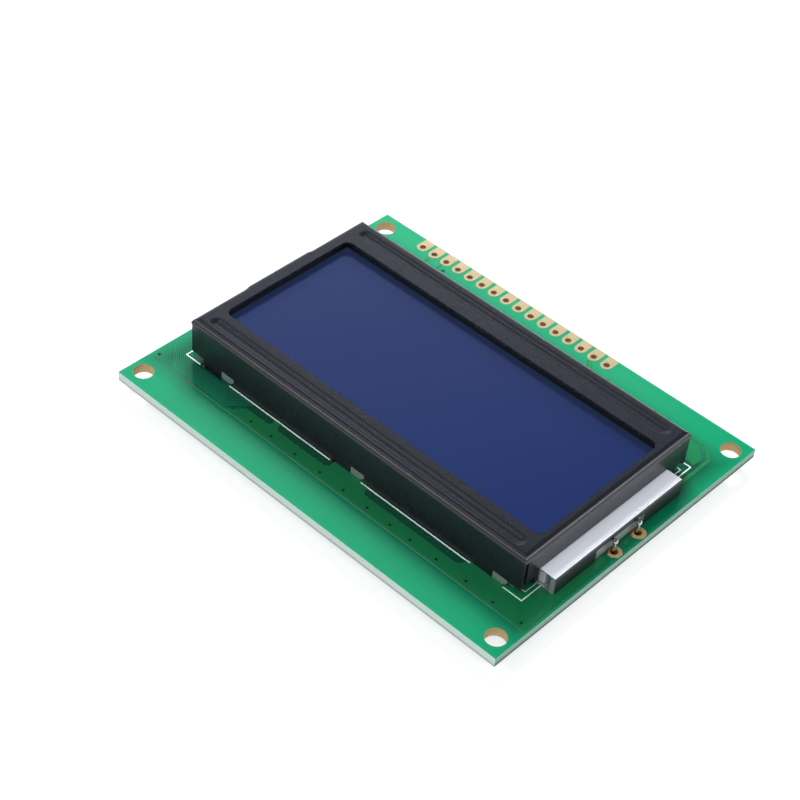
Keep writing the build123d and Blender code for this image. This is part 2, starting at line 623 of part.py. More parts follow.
def build_nodes():
    """Every separate piece by its name."""
    resistors = chip_column(DRIVER_X, RESISTOR_COUNT, RESISTOR_PITCH)
    capacitors = chip_column(-DRIVER_X, CAPACITOR_COUNT, CAPACITOR_PITCH)
    nodes = {
        "circuit_board": make_board(),
        "header_pads": [finger_pad(x) for x in header_x()],
        "backlight_pads": make_led_pads(),
        "bezel": make_bezel(),
        "window_gasket": make_gasket(),
        "front_polarizer": make_front_polarizer(),
        "front_glass": make_front_glass(),
        "crystal_layer": rear_plate(CRYSTAL_INSET, REAR_GLASS_TOP, LEDGE_LEVEL),
        "rear_glass": rear_plate(0, REAR_POLARIZER_TOP, REAR_GLASS_TOP),
        "rear_polarizer": rear_plate(POLARIZER_MARGIN, BACKLIGHT_TOP, REAR_POLARIZER_TOP),
        "front_zebra": make_zebra(INNER_FRONT_Y, 1),
        "back_zebra": make_zebra(INNER_BACK_Y, -1),
        "diffuser_film": make_diffuser(),
        "light_guide": make_light_guide(),
        "reflector_film": make_reflector(),
        "led_cover": make_led_cover(),
        "led_strip": make_led_strip(),
        "led_chips": make_led_chips(),
        "backlight_leads": make_leads(),
        "lead_solder": make_lead_solder(),
        "controller_glob": glob(0, CONTROLLER_Y),
        "driver_globs": [glob(-DRIVER_X, DRIVER_Y), glob(DRIVER_X, DRIVER_Y)],
        "chip_resistors": [chip_body(x, y, RESISTOR_HEIGHT) for x, y in resistors],
        "resistor_terminals": [end for x, y in resistors for end in chip_terminals(x, y, RESISTOR_HEIGHT)],
        "chip_capacitors": [chip_body(x, y, CAPACITOR_HEIGHT) for x, y in capacitors],
        "capacitor_terminals": [end for x, y in capacitors for end in chip_terminals(x, y, CAPACITOR_HEIGHT)],
    }
    return nodes


def write_nodes(nodes):
    """One STEP file for each piece."""
    os.makedirs("parts", exist_ok=True)
    for name, shape in nodes.items():
        solids = []
        for piece in shape if isinstance(shape, list) else [shape]:
            solids += piece.solids()
        export_step(solids[0] if len(solids) == 1 else Compound(children=solids), f"parts/{name}.step")
        print(name, len(solids), "solid" if len(solids) == 1 else "solids")


write_nodes(build_nodes())
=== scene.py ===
# %% [markdown]
# # A character display module, from frame to finish
#
# The object is a blue character LCD on a green circuit board. A folded black bezel holds the glass cell
# down, and a lamp channel in white film sticks out at one end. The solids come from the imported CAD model,
# already in place and in metres. This lesson gives them their finishes, and adds what is too thin for the
# solids: printed lines, copper tracks under the green mask, vias and a little flux.

# %% Load the frame
import math

import bmesh
import bpy
from mathutils import Matrix, Vector


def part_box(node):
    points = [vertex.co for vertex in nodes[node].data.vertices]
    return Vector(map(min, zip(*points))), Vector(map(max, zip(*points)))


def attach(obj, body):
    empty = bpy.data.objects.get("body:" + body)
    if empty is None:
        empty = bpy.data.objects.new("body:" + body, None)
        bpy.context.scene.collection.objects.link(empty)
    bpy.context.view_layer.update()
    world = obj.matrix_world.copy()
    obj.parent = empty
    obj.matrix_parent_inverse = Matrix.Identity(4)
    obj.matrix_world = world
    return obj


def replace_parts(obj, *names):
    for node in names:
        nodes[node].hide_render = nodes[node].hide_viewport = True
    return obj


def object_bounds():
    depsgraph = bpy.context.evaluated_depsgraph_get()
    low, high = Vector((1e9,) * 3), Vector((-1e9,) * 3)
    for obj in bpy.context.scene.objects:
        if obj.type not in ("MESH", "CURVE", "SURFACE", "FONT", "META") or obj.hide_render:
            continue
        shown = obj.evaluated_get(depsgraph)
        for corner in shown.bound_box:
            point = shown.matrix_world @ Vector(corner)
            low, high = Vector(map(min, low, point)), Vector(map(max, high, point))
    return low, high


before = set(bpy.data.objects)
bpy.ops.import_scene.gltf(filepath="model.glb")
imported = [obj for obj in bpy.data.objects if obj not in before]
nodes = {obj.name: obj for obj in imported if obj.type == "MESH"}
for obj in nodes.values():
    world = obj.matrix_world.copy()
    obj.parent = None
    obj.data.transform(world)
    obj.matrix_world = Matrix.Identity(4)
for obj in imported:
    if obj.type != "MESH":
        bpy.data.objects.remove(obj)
cad_low, cad_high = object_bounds()
MM = 0.001
print("nodes:", len(nodes), "size in mm:", [round((b - a) / MM, 2) for a, b in zip(cad_low, cad_high)])

# %% [markdown]
# ## The view
#
# The camera was worked out from the photograph, by matching the board's corners, its holes and the pad
# pitch. It is a long lens, 29 cm from the part and 20 cm above it, turned a little about its own axis.
# Three turns in a fixed order say this plainly: about the vertical, then down to the part, then the roll.

# %% Camera
LENS = 87.93
SENSOR_WIDTH = 36
NEAREST = 0.01
PLACE = Vector((130.736, -162.725, 195.893)) * MM
AZIMUTH = 40.216
ELEVATION = 42.742
ROLL = 5.097

camera_data = bpy.data.cameras.new("product_camera")
camera_data.lens = LENS
camera_data.sensor_width = SENSOR_WIDTH
camera_data.clip_start = NEAREST
camera = bpy.data.objects.new("product_camera", camera_data)
bpy.context.scene.collection.objects.link(camera)
swing = Matrix.Rotation(math.radians(AZIMUTH), 4, "Z")
tilt = Matrix.Rotation(math.radians(90 - ELEVATION), 4, "X")
roll = Matrix.Rotation(math.radians(ROLL), 4, "Z")
camera.matrix_world = Matrix.Translation(PLACE) @ swing @ tilt @ roll
bpy.context.scene.camera = camera
print("camera", round(PLACE.length / MM), "mm from the middle of the board")

# %% [markdown]
# ## Small helpers for materials
#
# Colours are written as the hex values a colour picker shows, so one function turns them into the linear
# numbers that light works with. Another adds a node with its settings and links. A socket given as an
# input is linked, and anything else is set on the node's own socket.

# %% Colour and node helpers
def linear(code):
    """The linear colour of an sRGB hex code."""
    values = [int(code[start:start + 2], 16) / 255 for start in (0, 2, 4)]
    return [v / 12.92 if v <= 0.04045 else ((v + 0.055) / 1.055) ** 2.4 for v in values] + [1]


def node(tree, kind, inputs=None, **settings):
    """Add a shader node, set its properties, and set or link its inputs."""
    made = tree.nodes.new("ShaderNode" + kind)
    for name, value in settings.items():
        setattr(made, name, value)
    for name, value in (inputs or {}).items():
        if isinstance(value, bpy.types.NodeSocket):
            tree.links.new(value, made.inputs[name])
        else:
            made.inputs[name].default_value = value
    return made


print("white is", linear("ffffff"))

# %% [markdown]
# A finish is a material with one main shader. Numbers that are the same all over it are set on the shader,
# and patterns are fed into its inputs afterwards.

# %% Finish helpers
def finish_named(name, **plain):
    """A new material: its tree and its main shader, with plain numbers set on the shader."""
    material = bpy.data.materials.new(name)
    material.use_nodes = True
    tree = material.node_tree
    shader = tree.nodes["Principled BSDF"]
    for key, value in plain.items():
        shader.inputs["IOR" if key == "ior" else key.replace("_", " ").title()].default_value = value
    return material, tree, shader


def feed(shader, name, pattern):
    """Let a pattern drive one input of a shader."""
    shader.id_data.links.new(pattern, shader.inputs[name])


def dress(material, *names):
    """Give CAD nodes a finish."""
    for name in names:
        nodes[name].data.materials.clear()
        nodes[name].data.materials.append(material)
    print(material.name, "on", ", ".join(names))


print("a finish can be named, fed and put on a node")

# %% [markdown]
# Patterns need a few more steps, used again and again: grains, a value spread over a range, a blend of two
# colours by a factor, and a fine unevenness as a bump. Every pattern is given the size of its grain in
# millimetres, because a noise texture repeats about once for each unit divided by its scale. A wave texture
# multiplies its place by 20 before it takes the sine, so it repeats about three times in that length.

# %% Pattern helpers
def place_on_part(tree):
    """Object coordinates, in metres."""
    return node(tree, "TexCoord").outputs["Object"]


def grain(tree, size_mm, detail=3.0, stretch=(1, 1, 1)):
    """A noise value whose grains are about so many millimetres across, smaller where it is stretched."""
    where = node(tree, "Mapping", {"Vector": place_on_part(tree), "Scale": stretch}).outputs[0]
    scale = 1 / (size_mm * MM)
    return node(tree, "TexNoise", {"Vector": where, "Scale": scale, "Detail": detail}).outputs["Fac"]


def wave_scale(spacing_mm):
    """The scale that makes a wave texture repeat once in so many millimetres."""
    return 2 * math.pi / 20 / (spacing_mm * MM)


def band(tree, value, low, high, result=(0.0, 1.0)):
    """Spread the part of a value between low and high over the result's range, and hold it outside."""
    spread = node(tree, "MapRange", {"Value": value, "From Min": low, "From Max": high,
                                     "To Min": result[0], "To Max": result[1]})
    return spread.outputs[0]


def blend(tree, factor, first, second):
    """A colour between two, by a factor. Each colour is a hex code or a socket."""
    ends = [linear(one) if isinstance(one, str) else one for one in (first, second)]
    return node(tree, "Mix", {0: factor, 6: ends[0], 7: ends[1]}, data_type="RGBA").outputs[2]


def uneven(tree, shader, height, distance_mm, strength=0.5):
    """A bump of so many millimetres on a shader."""
    bump = node(tree, "Bump", {"Height": height, "Distance": distance_mm * MM, "Strength": strength})
    feed(shader, "Normal", bump.outputs[0])


print("a grain of 1 mm has scale", 1 / MM, "and a wave of 1 mm", round(wave_scale(1)))

# %% [markdown]
# Where a finish changes over a piece, a mask says where: one in the place and nought elsewhere. Masks are
# made from the place on the object and from the way that a face looks, by plain arithmetic.

# %% Mask helpers
def place_along(tree):
    """The place on the object as three values, X, Y and Z."""
    return node(tree, "SeparateXYZ", {0: place_on_part(tree)}).outputs


def look_along(tree):
    """The way that a face looks as three values, X, Y and Z."""
    return node(tree, "SeparateXYZ", {0: node(tree, "NewGeometry").outputs["Normal"]}).outputs


def unsigned(tree, value):
    """A value without its sign, such as the distance from the middle."""
    return node(tree, "Math", {0: value}, operation="ABSOLUTE").outputs[0]


def moved_by(tree, value, pattern):
    """A value moved up and down by a pattern, which makes a straight border ragged."""
    return node(tree, "Math", {0: value, 1: pattern}, operation="ADD").outputs[0]


def past(tree, value, start):
    """How far a value is past a start. Either of them may be a plain number."""
    return node(tree, "Math", {0: value, 1: start}, operation="SUBTRACT").outputs[0]


print("places and directions can be measured")

# %% [markdown]
# Masks are joined like words: where a value is over a limit, where both of two masks are, where either is,
# and where one is not. A face counts as looking along an axis when more than half of its direction is
# on it.

# %% Joining masks
MOSTLY = 0.5


def over(tree, value, limit):
    """The mask of where a value is over a limit."""
    return node(tree, "Math", {0: value, 1: limit}, operation="GREATER_THAN").outputs[0]


def both(tree, first, second):
    """The mask of where two masks meet. A number as the second one weakens the first."""
    return node(tree, "Math", {0: first, 1: second}, operation="MULTIPLY").outputs[0]


def either(tree, first, second):
    """The mask of where one of two masks is, or the greater of two values."""
    return node(tree, "Math", {0: first, 1: second}, operation="MAXIMUM").outputs[0]


def other_than(tree, mask):
    """The mask of everywhere else."""
    return past(tree, 1.0, mask)


def turned_along(tree, share):
    """The mask of faces that look along an axis, whichever way, from their share of it."""
    return over(tree, unsigned(tree, share), MOSTLY)


print("masks can be joined")

# %% [markdown]
# ## Light
#
# The photograph says where its lights were. The board is darker in front of the bezel and at its right, so
# the strongest light stands near, behind at the left, and as high as the shadow of the bezel is wide. A
# broad one in front, a little to the right, fills that shadow. Both directions were fitted to the shades of
# green along the board. Neither leaves a mirror image on the flat tops, as polarised lamps wouldn't, so
# glossy rays don't see them.
#
# What the tops mirror is the room, brighter low at the left and behind. Two low lamps draw the bright lines
# where the bezel bends down at the front and at the right, and a small high one the lines in its grooves.

# %% World
ROOM_COLOUR = (0.88, 0.94, 1.0, 1)
ROOM_LEVELS = (0.13, 0.95)
BRIGHT_SIDE = (-0.69, 0.634, 0.346)
BRIGHT_CONE = (0.87, 0.97)
bpy.context.scene.view_settings.view_transform = "Standard"

world = bpy.data.worlds.new("dim_room")
world.use_nodes = True
bpy.context.scene.world = world
room_tree = world.node_tree
room = room_tree.nodes["Background"]
room.inputs["Color"].default_value = ROOM_COLOUR
away = node(room_tree, "TexCoord").outputs["Generated"]
nearness = node(room_tree, "VectorMath", {0: away, 1: BRIGHT_SIDE}, operation="DOT_PRODUCT")
feed(room, "Strength", band(room_tree, nearness.outputs["Value"], *BRIGHT_CONE, ROOM_LEVELS))
print("the room's light goes from", *ROOM_LEVELS)

# %% [markdown]
# Every lamp is a round area light that looks at the middle of the part. Its direction, distance, size and
# watts are given in that order.

# %% Lamps
def soft_light(name, direction, distance, size, watts, mirrored=True):
    """A round light in a direction, turned to the part, in metres. It may stay out of mirrors."""
    data = bpy.data.lights.new(name, "AREA")
    data.shape = "DISK"
    data.size = size
    data.energy = watts
    lamp = bpy.data.objects.new(name, data)
    lamp.location = Vector(direction).normalized() * distance
    lamp.rotation_euler = (-lamp.location).to_track_quat("-Z", "Y").to_euler()
    lamp.visible_glossy = mirrored
    bpy.context.scene.collection.objects.link(lamp)
    print(name, "at", round(math.degrees(math.asin(lamp.location.z / distance))), "degrees above the floor")


soft_light("main_lamp_behind_left", (-0.7, 0.8, 1.0), 0.36, 0.19, 2.55, mirrored=False)
soft_light("broad_softbox_in_front", (0.25, -0.55, 1.0), 1.0, 1.05, 7.3, mirrored=False)
soft_light("low_lamp_front_left", (-0.47, -0.75, 0.46), 1.0, 0.42, 1.8)
soft_light("high_lamp_left", (-0.47, -0.3, 0.83), 1.0, 0.3, 0.5)
soft_light("low_lamp_back_right", (0.757, 0.56, 0.34), 1.0, 0.42, 2.3)

# %% [markdown]
# ## The floor
#
# The part stood on a table of white plastic lit from below, as is usual for pictures on a white ground. It
# leaves hardly a shadow, and it makes the sawn front edge of the board bright. A faint grain keeps it from
# being a bare colour.

# %% Floor
FLOOR_SIDE = 6.0
FLOOR_GAP = 0.02
table, tree, shader = finish_named("lit_white_plastic", roughness=0.9, emission_strength=0.75)
feed(shader, "Base Color", blend(tree, grain(tree, 2.0), "909090", "949494"))
shader.inputs["Emission Color"].default_value = linear("fdfdff")

work = bmesh.new()
bmesh.ops.create_grid(work, x_segments=1, y_segments=1, size=FLOOR_SIDE / 2)
bmesh.ops.translate(work, verts=work.verts, vec=(0, 0, cad_low[2] - FLOOR_GAP * MM))
floor_mesh = bpy.data.meshes.new("light_table")
work.to_mesh(floor_mesh)
work.free()
floor = bpy.data.objects.new("light_table", floor_mesh)
bpy.context.scene.collection.objects.link(floor)
floor_mesh.materials.append(table)
print("floor at", round(cad_low[2] / MM - FLOOR_GAP, 2), "mm")

# %% [markdown]
# ## Circuit board
#
# The board is glass-fibre laminate with a glossy green solder mask on both faces. The laminate is pale and
# lets light in, so the mask looks bright where there is no copper below. Near the bezel's foot the green is
# painted deeper on the top face, a painted shade for the shadow and shade that fall there. It reaches
# further in front and behind than at the ends. Sizes are in millimetres.

# %% Painted shade near the bezel
FOOT_LEFT, FOOT_RIGHT, FOOT_SIDE = -32.9, 32.7, 18.3
SHADE_START = 1.2
END_REACH, SIDE_REACH = 4.7, 7.0


def shaded_near_bezel(tree, green, most):
    """A green with painted shade, deeper towards the foot of the bezel on the top face, by at most so much.
    """
    place = place_along(tree)
    past_left = past(tree, FOOT_LEFT * MM, place["X"])
    past_right = past(tree, place["X"], FOOT_RIGHT * MM)
    past_end = either(tree, past_left, past_right)
    past_side = past(tree, unsigned(tree, place["Y"]), FOOT_SIDE * MM)
    by_end = band(tree, past_end, SHADE_START * MM, END_REACH * MM, (most, 0.0))
    by_side = band(tree, past_side, SHADE_START * MM, SIDE_REACH * MM, (most, 0.0))
    depth = node(tree, "Math", {0: by_end, 1: by_side}, operation="MINIMUM").outputs[0]
    on_top = over(tree, look_along(tree)["Z"], MOSTLY)
    return blend(tree, both(tree, depth, on_top), green, "02382a")


print("the mask deepens up to", SIDE_REACH, "mm from the bezel")

# %% [markdown]
# A faint weave of the glass cloth shows through the mask. Its threads lie about 0.7 mm apart, and here they
# are drawn two and a half times as coarse, so that they show at all. The mask and its weave are one green,
# kept for the next step.

# %% Green of the faces
WEAVE_SPACING = 1.77653
WEAVE_SHARE = 0.12
mask_green, tree, shader = finish_named("green_solder_mask", ior=1.5)
cloth = [node(tree, "TexWave", {"Vector": place_on_part(tree), "Scale": wave_scale(WEAVE_SPACING),
                                "Distortion": 2.0, "Detail": 1.0},
              bands_direction=way).outputs["Fac"] for way in ("X", "Y")]
weave = both(tree, cloth[0], cloth[1])
green = blend(tree, grain(tree, 9.0, 2.0), "027d56", "028259")
green = blend(tree, both(tree, weave, WEAVE_SHARE), green, "016c46")
# Painted shade: the green turns deeper towards the bezel's foot.
green = shaded_near_bezel(tree, green, 0.9)
print("weave every", round(WEAVE_SPACING, 1), "mm")

# %% [markdown]
# The sawn edges show the bare laminate: pale at the top, greyer at the bottom where the saw left it rough.
# The two end edges are painted darker, a painted shade for the less light that falls on them. The drilled
# holes are tan. One material can do all of it, because the direction that a face looks in tells a face from
# an edge, and the distance from the outline tells an edge from a hole.

# %% Edges and holes of the board
board_low, board_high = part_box("circuit_board")
EDGE_BAND = 0.05
place, look = place_along(tree), look_along(tree)

height = band(tree, place["Z"], board_low[2], board_high[2])
layers = band(tree, grain(tree, 0.5, 3.0, (1, 1, 12)), 0.3, 0.7, (-0.08, 0.08))
edge_tone = moved_by(tree, height, layers)
sawn = blend(tree, band(tree, edge_tone, 0.2, 0.3), "95a39f", "b9cbc3")
# Painted shade: the edges at the two ends get a darker colour.
shaded_end_edge = blend(tree, band(tree, edge_tone, 0.3, 0.42), "4e6862", "86a596")
sawn = blend(tree, turned_along(tree, look["X"]), sawn, shaded_end_edge)
drilled = blend(tree, grain(tree, 0.15, 3.0, (1, 1, 0.3)), "a28d66", "c2ad84")

at_ends = over(tree, unsigned(tree, place["X"]), board_high[0] - EDGE_BAND * MM)
at_sides = over(tree, unsigned(tree, place["Y"]), board_high[1] - EDGE_BAND * MM)
is_outline = either(tree, at_ends, at_sides)
is_face = turned_along(tree, look["Z"])
feed(shader, "Base Color", blend(tree, is_face, blend(tree, is_outline, drilled, sawn), green))
feed(shader, "Roughness", band(tree, is_face, 0, 1, (0.75, 0.1)))
uneven(tree, shader, grain(tree, 0.5, 1.0), 0.002, 0.3)
dress(mask_green, "circuit_board")

# %% [markdown]
# Copper shows through the mask as a darker, more olive green, and the mask thins over the copper's edge, so
# a brownish line follows every pour and track. The second green is for the copper areas, and its slopes
# take the brown. Over tracks as fine as a hair the mask is thin from side to side, so those look paler.
# Both take the painted shade near the bezel too, more weakly. The last green,
# nearly black, is mask that has run into a via.

# %% Solder mask over copper
LEVEL_SHARE = (0.90, 0.995)
mask_copper, tree, shader = finish_named("green_mask_over_copper", roughness=0.1, ior=1.5)
level_part = band(tree, unsigned(tree, look_along(tree)["Z"]), *LEVEL_SHARE)
olive = blend(tree, grain(tree, 6.0, 2.0), "147144", "197746")
feed(shader, "Base Color", blend(tree, level_part, "2a4a30", shaded_near_bezel(tree, olive, 0.3)))
uneven(tree, shader, grain(tree, 0.5, 1.0), 0.002, 0.3)

mask_fine, tree, shader = finish_named("green_mask_over_fine_tracks", roughness=0.12, ior=1.5)
pale = blend(tree, grain(tree, 1.0, 2.0), "188460", "218e6a")
feed(shader, "Base Color", shaded_near_bezel(tree, pale, 0.6))
uneven(tree, shader, grain(tree, 0.5, 1.0), 0.002, 0.3)

plug_dark, tree, shader = finish_named("mask_filled_via", roughness=0.7)
feed(shader, "Base Color", blend(tree, grain(tree, 0.1), "020a08", "04120e"))
print("three more greens")

# %% [markdown]
# ## Gold pads
#
# The pads and plated holes are copper with a thin, matt coat of gold. That gives a soft peach colour with
# hardly any mirror in it. The bores are darker, because the light inside them is brown from many bounces.
# The two backlight pads were soldered by hand, and flux has burnt brown on their inner side, with a ragged
# edge. Their gold is painted lighter than the header's, a painted light for the shade they lie in.

# %% Gold plating
FLUX_FADE = 0.2
FLUX_RAGGED = 0.25
FLUX_OFFSET = 0.45


def gold_finish(name, tones, flux_side):
    """Matt gold plating in two tones, with flux to the left of flux_side, or none."""
    material, tree, shader = finish_named(name, roughness=0.42, metallic=0.35)
    flat = blend(tree, grain(tree, 0.4), *tones)
    if flux_side is not None:
        ragged = band(tree, grain(tree, 0.5), 0.3, 0.7, (-FLUX_RAGGED * MM, FLUX_RAGGED * MM))
        reach = moved_by(tree, place_along(tree)["X"], ragged)
        clean = band(tree, reach, flux_side - FLUX_FADE * MM, flux_side + FLUX_FADE * MM)
        flat = blend(tree, clean, "6f4424", flat)
    bore = blend(tree, grain(tree, 0.3), "9a7a50", "b39263")
    feed(shader, "Base Color", blend(tree, turned_along(tree, look_along(tree)["Z"]), bore, flat))
    uneven(tree, shader, grain(tree, 0.12), 0.004, 0.4)
    return material


pads_low, pads_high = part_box("backlight_pads")
flux_side = (pads_low[0] + pads_high[0]) / 2 - FLUX_OFFSET * MM
dress(gold_finish("matt_gold_plating", ("9c8d6d", "a79878"), None), "header_pads")
# Painted light: the backlight pads' gold is lighter than the header's for the shade they lie in.
dress(gold_finish("flux_gold_painted_lighter", ("c9a774", "d8b782"), flux_side), "backlight_pads")

# %% [markdown]
# ## The bezel
#
# Thin steel sheet, cut, folded and sprayed with satin black enamel. Enamel has a fine orange peel, about a
# third of a millimetre wide. Where the window is cut through, the paint is thin on the sharp edge and bare
# steel glints in specks. The window edge is found by its sideways faces near the top of the bezel.

# %% Satin black enamel
bezel_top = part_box("bezel")[1][2]
CUT_DEPTH = 0.5
SIDEWAYS_LIMIT = 0.05
SPECK_LEVEL = 0.66

enamel, tree, shader = finish_named("satin_black_enamel", ior=1.5)
paint = blend(tree, grain(tree, 7.0, 2.0), "15171e", "181a22")
near_top = over(tree, place_along(tree)["Z"], bezel_top - CUT_DEPTH * MM)
sideways = other_than(tree, over(tree, unsigned(tree, look_along(tree)["Z"]), SIDEWAYS_LIMIT))
specks = over(tree, grain(tree, 0.22, 4.0), SPECK_LEVEL)
bare = both(tree, both(tree, near_top, sideways), specks)
feed(shader, "Base Color", blend(tree, bare, paint, "a9a6a0"))
feed(shader, "Metallic", band(tree, bare, 0, 1, (0.0, 0.8)))
feed(shader, "Roughness", band(tree, grain(tree, 1.5, 3.0), 0.3, 0.7, (0.26, 0.32)))
uneven(tree, shader, grain(tree, 0.33, 2.0), 0.004, 0.3)
dress(enamel, "bezel")

# %% [markdown]
# ## The display cell
#
# From the top down: a tinted polarizer film, a glass plate, the liquid crystal, a second plate and a second
# film. The blue is made deep inside, so the rim of the window throws a soft shadow on it, and the room is
# mirrored in the film above it. To get both, the film and the plates let light go straight through and only
# add a reflection by Fresnel's law. A back face adds none, or its inner reflection would turn it into a
# mirror. The glass has a low index here, because it lies against the film and has almost no reflection of
# its own.

# %% Clear layers
HAZE_SPREAD = (0.95, 1.05)


def clear_layer(name, tint, ior, roughness):
    """A layer that light goes straight through, with a reflection on the faces that look outwards."""
    material = bpy.data.materials.new(name)
    material.use_nodes = True
    tree = material.node_tree
    tree.nodes.remove(tree.nodes["Principled BSDF"])
    outside = other_than(tree, node(tree, "NewGeometry").outputs["Backfacing"])
    share = both(tree, node(tree, "Fresnel", {"IOR": ior}).outputs[0], outside)
    haze = band(tree, grain(tree, 3.0, 4.0), 0.3, 0.7, [roughness * part for part in HAZE_SPREAD])
    through = node(tree, "BsdfTransparent", {"Color": linear(tint)})
    mirror = node(tree, "BsdfAnisotropic", {"Color": (1, 1, 1, 1), "Roughness": haze})
    mixed = node(tree, "MixShader", {0: share, 1: through.outputs[0], 2: mirror.outputs[0]})
    tree.links.new(mixed.outputs[0], tree.nodes["Material Output"].inputs["Surface"])
    return material


dress(clear_layer("tinted_polarizer_film", "e6e8f2", 1.49, 0.16), "front_polarizer")
dress(clear_layer("float_glass_plate", "f4fbf8", 1.05, 0.03), "front_glass", "rear_glass")

# %% [markdown]
# The crystal layer is what the eye reads as the blue screen. Most of its blue is a painted glow, an
# emission that stands in for the light which the light guide spreads and sends back evenly, so it casts and
# takes no shadow. Near the left and back rims the glow turns grey in a soft border, a painted shade like
# the one at the far sides of the window. The borders are measured from the film's left and back edges, in
# millimetres.
# The gasket round the window is dull black.

# %% Blue crystal with painted glow, rear film and gasket
film_low, film_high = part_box("front_polarizer")
LEFT_RIM_SHADE, BACK_RIM_SHADE = (-0.95, 0.7), (-1.2, 1.1)

# Painted glow and painted shade: the layer's emission makes its blue, and turns grey at the left and back
# rims.
blue, tree, shader = finish_named("blue_crystal_painted_glow", roughness=0.9, ior=1.02, emission_strength=1.0)
feed(shader, "Base Color", blend(tree, grain(tree, 14.0, 2.0), "10172b", "131b30"))
place = place_along(tree)
glow_past_left_rim = band(tree, place["X"], *(film_low[0] + edge * MM for edge in LEFT_RIM_SHADE))
glow_past_back_rim = band(tree, place["Y"], *(film_high[1] + edge * MM for edge in BACK_RIM_SHADE), (1.0, 0.0))
feed(shader, "Emission Color", blend(tree, both(tree, glow_past_left_rim, glow_past_back_rim), "2b3342", "1b306c"))
dress(blue, "crystal_layer")

rear_film, tree, shader = finish_named("rear_polarizer_film", roughness=0.25)
feed(shader, "Base Color", blend(tree, grain(tree, 5.0), "20305e", "25366a"))
dress(rear_film, "rear_polarizer")

rubber, tree, shader = finish_named("black_foam_gasket", roughness=0.85)
feed(shader, "Base Color", blend(tree, grain(tree, 0.2), "0b0d10", "14171b"))
uneven(tree, shader, grain(tree, 0.15), 0.02, 0.6)
dress(rubber, "window_gasket")

# %% [markdown]
# ## The backlight end
#
# The lamp channel is a folded strip of film, white on its top, black on the face that looks out from the
# board, and silvered inside so that no light is lost. The lamps sit on a pale strip behind the cut-out. As
# before, the direction a face looks in picks its finish, and the height tells the outer top from the inner
# one.

# %% Lamp channel film
cover_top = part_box("led_cover")[1][2]
TOP_SKIN = 0.1
STEEPEST_TOP = 0.7
channel, tree, shader = finish_named("folded_reflector_film", ior=1.5)
look = look_along(tree)
is_high = over(tree, place_along(tree)["Z"], cover_top - TOP_SKIN * MM)
outer_top = both(tree, over(tree, look["Z"], STEEPEST_TOP), is_high)
outer_side = over(tree, look["X"], MOSTLY)
inside = past(tree, other_than(tree, outer_top), outer_side)

white = blend(tree, grain(tree, 8.0, 2.0), "ecf1fb", "f2f5fd")
silver = blend(tree, grain(tree, 2.0), "c9ced8", "d8dce4")
black = blend(tree, grain(tree, 1.0), "17191d", "1d2025")
feed(shader, "Base Color", blend(tree, outer_side, blend(tree, outer_top, silver, white), black))
feed(shader, "Metallic", band(tree, inside, 0, 1, (0.0, 0.85)))
feed(shader, "Roughness", band(tree, inside, 0, 1, (0.35, 0.12)))
uneven(tree, shader, grain(tree, 5.0, 1.0), 0.02, 0.2)
dress(channel, "led_cover")

# %% [markdown]
# Behind the cover lie the strip board, its lamps, the clear light guide, and two films that bounce and
# spread the light. Only slivers of them show, but the ends and the underside of the module are seen from
# other sides, so each gets its own finish.

# %% Backlight parts
strip, tree, shader = finish_named("coated_strip_board", roughness=0.2)
feed(shader, "Base Color", blend(tree, grain(tree, 1.2, 3.0, (1, 0.3, 1)), "7f8a8c", "a5aeb0"))
uneven(tree, shader, grain(tree, 0.3), 0.01, 0.4)
dress(strip, "led_strip")

resin, tree, shader = finish_named("phosphor_resin", roughness=0.35)
feed(shader, "Base Color", blend(tree, grain(tree, 0.3), "e0c65c", "efdc8c"))
dress(resin, "led_chips")

guide, tree, shader = finish_named("moulded_acrylic", roughness=0.08, ior=1.49)
feed(shader, "Base Color", blend(tree, grain(tree, 6.0), "cfd8dc", "dce4e6"))
dress(guide, "light_guide")

sheet_white, tree, shader = finish_named("white_reflector_sheet", roughness=0.6)
feed(shader, "Base Color", blend(tree, grain(tree, 1.0), "e2e4e6", "eceef0"))
dress(sheet_white, "reflector_film")

milky, tree, shader = finish_named("milky_diffuser_sheet", roughness=0.7)
feed(shader, "Base Color", blend(tree, grain(tree, 0.25), "d9dde2", "e6e9ec"))
dress(milky, "diffuser_film")

# %% [markdown]
# The strips that join the glass to the board are white silicone rubber with thin dark layers across. The
# real layers are about a tenth as wide as these, which are drawn coarser so that they show.

# %% Silicone strips
STRIPE_SPACING = 0.78957
STRIPE_SHARE = 0.15
silicone, tree, shader = finish_named("white_silicone_rubber", roughness=0.55)
stripes = node(tree, "TexWave", {"Vector": place_on_part(tree), "Scale": wave_scale(STRIPE_SPACING)},
               bands_direction="X").outputs["Fac"]
feed(shader, "Base Color", blend(tree, both(tree, stripes, STRIPE_SHARE), "7c8884", "4c5654"))
dress(silicone, "front_zebra", "back_zebra")

# %% [markdown]
# ## Leads and solder
#
# Solder that has just set is nearly a mirror, with a slight frost where it froze in fine grains. The wires
# are tinned copper, a little duller. A metal keeps the usual index, and its look comes from its colour and
# roughness.

# %% Bright metals
solder, tree, shader = finish_named("bright_solder", metallic=1.0)
feed(shader, "Base Color", blend(tree, grain(tree, 0.25), "c8cacc", "dcdee0"))
feed(shader, "Roughness", band(tree, grain(tree, 0.2), 0.35, 0.65, (0.08, 0.24)))
uneven(tree, shader, grain(tree, 0.35, 1.0), 0.02, 0.5)
dress(solder, "lead_solder")

wire, tree, shader = finish_named("tinned_copper_wire", roughness=0.22, metallic=1.0)
feed(shader, "Base Color", blend(tree, grain(tree, 0.3, 3.0, (1, 1, 0.2)), "b4b6b8", "cacccf"))
dress(wire, "backlight_leads")

